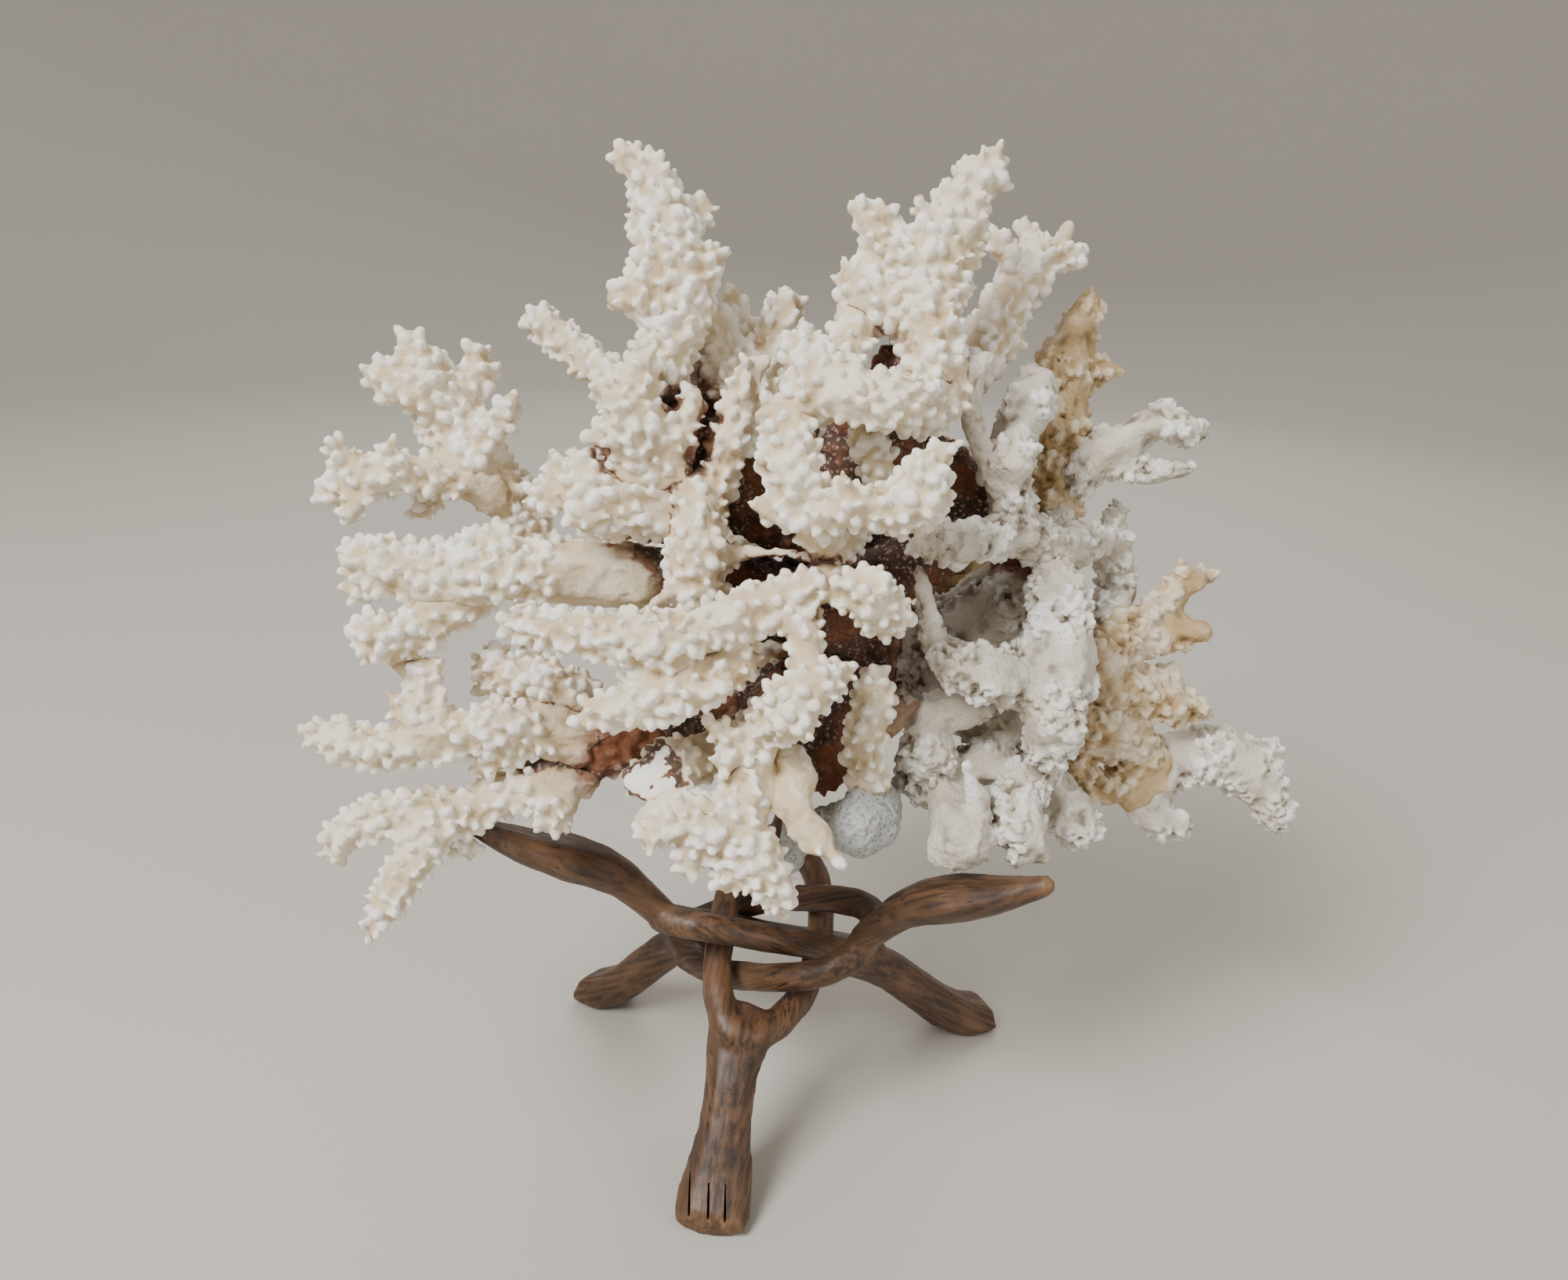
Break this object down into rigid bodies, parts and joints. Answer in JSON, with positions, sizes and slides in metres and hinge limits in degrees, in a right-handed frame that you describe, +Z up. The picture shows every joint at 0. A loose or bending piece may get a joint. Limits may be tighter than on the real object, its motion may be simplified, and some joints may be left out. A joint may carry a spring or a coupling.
{
  "type": "coral specimen on stand",
  "caption": "Bleached branching stony coral with knobbly fingers, old eroded growth on one side, resting on an interlocked carved wooden folding stand.",
  "frame": {"origin": "under the middle of the whole object's box, on the surface the three soles stand on", "axes": "+Z up, -Y to the front, the side of the foot with the cracked toe; +X to the right, the side of the eroded horn"},
  "size_m": [0.2308, 0.1364, 0.2341],
  "materials": {
    "wood": "hand-carved dark hardwood, rubbed satin varnish",
    "coral_bloom": "bleached coral skeleton, cream-white, matt",
    "coral_stained": "coral skeleton stained red-brown near the heart of the colony, matt",
    "coral_chalk": "old eroded coral skeleton, chalky grey-white, pitted",
    "coral_ochre": "old coral skeleton with tan-ochre crust, matt"
  },
  "bodies": {
    "root": {"leg_front": "wood", "leg_back_left": "wood", "leg_back_right": "wood", "trunk": "coral_stained", "bough_top": "coral_stained", "bough_top_left": "coral_stained", "bough_left": "coral_stained", "bough_front": "coral_stained", "bough_low_left": "coral_stained", "bough_right": "coral_chalk", "spire_left": "coral_bloom", "finger_left_back": "coral_bloom", "bush_left": "coral_bloom", "shoulder_left": "coral_bloom", "club_left": "coral_bloom", "knob_left": "coral_bloom", "antler": "coral_bloom", "arm_left": "coral_bloom", "fist_left": "coral_bloom", "finger_long": "coral_bloom", "hook_left": "coral_bloom", "arm_low": "coral_bloom", "claw_low": "coral_bloom", "finger_cross": "coral_bloom", "stub_cut": "coral_bloom", "cluster_front": "coral_bloom", "bush_low": "coral_bloom", "finger_drop": "coral_bloom", "finger_mid": "coral_bloom", "column_mid": "coral_bloom", "candelabra": "coral_bloom", "bush_top": "coral_bloom", "piece_mid": "coral_bloom", "spire_right": "coral_bloom", "knobs_top_back": "coral_bloom", "branch_right_back": "coral_bloom", "blade_right": "coral_ochre", "fist_right": "coral_chalk", "rod_right": "coral_chalk", "hook_right": "coral_chalk", "ridge_right": "coral_chalk", "antler_right": "coral_ochre", "mass_right": "coral_chalk", "fist_low_right": "coral_chalk", "web_right": "coral_ochre", "horn_right": "coral_chalk", "lump_grey": "coral_chalk", "ball_grey": "coral_chalk", "lump_rest": "coral_chalk", "lump_rest_right": "coral_chalk", "back_spire": "coral_bloom", "back_arm_left": "coral_bloom", "back_bush": "coral_bloom", "back_arm_right": "coral_ochre", "back_low_left": "coral_bloom", "back_low": "coral_chalk", "back_low_right": "coral_ochre"}
  },
  "joints": []
}
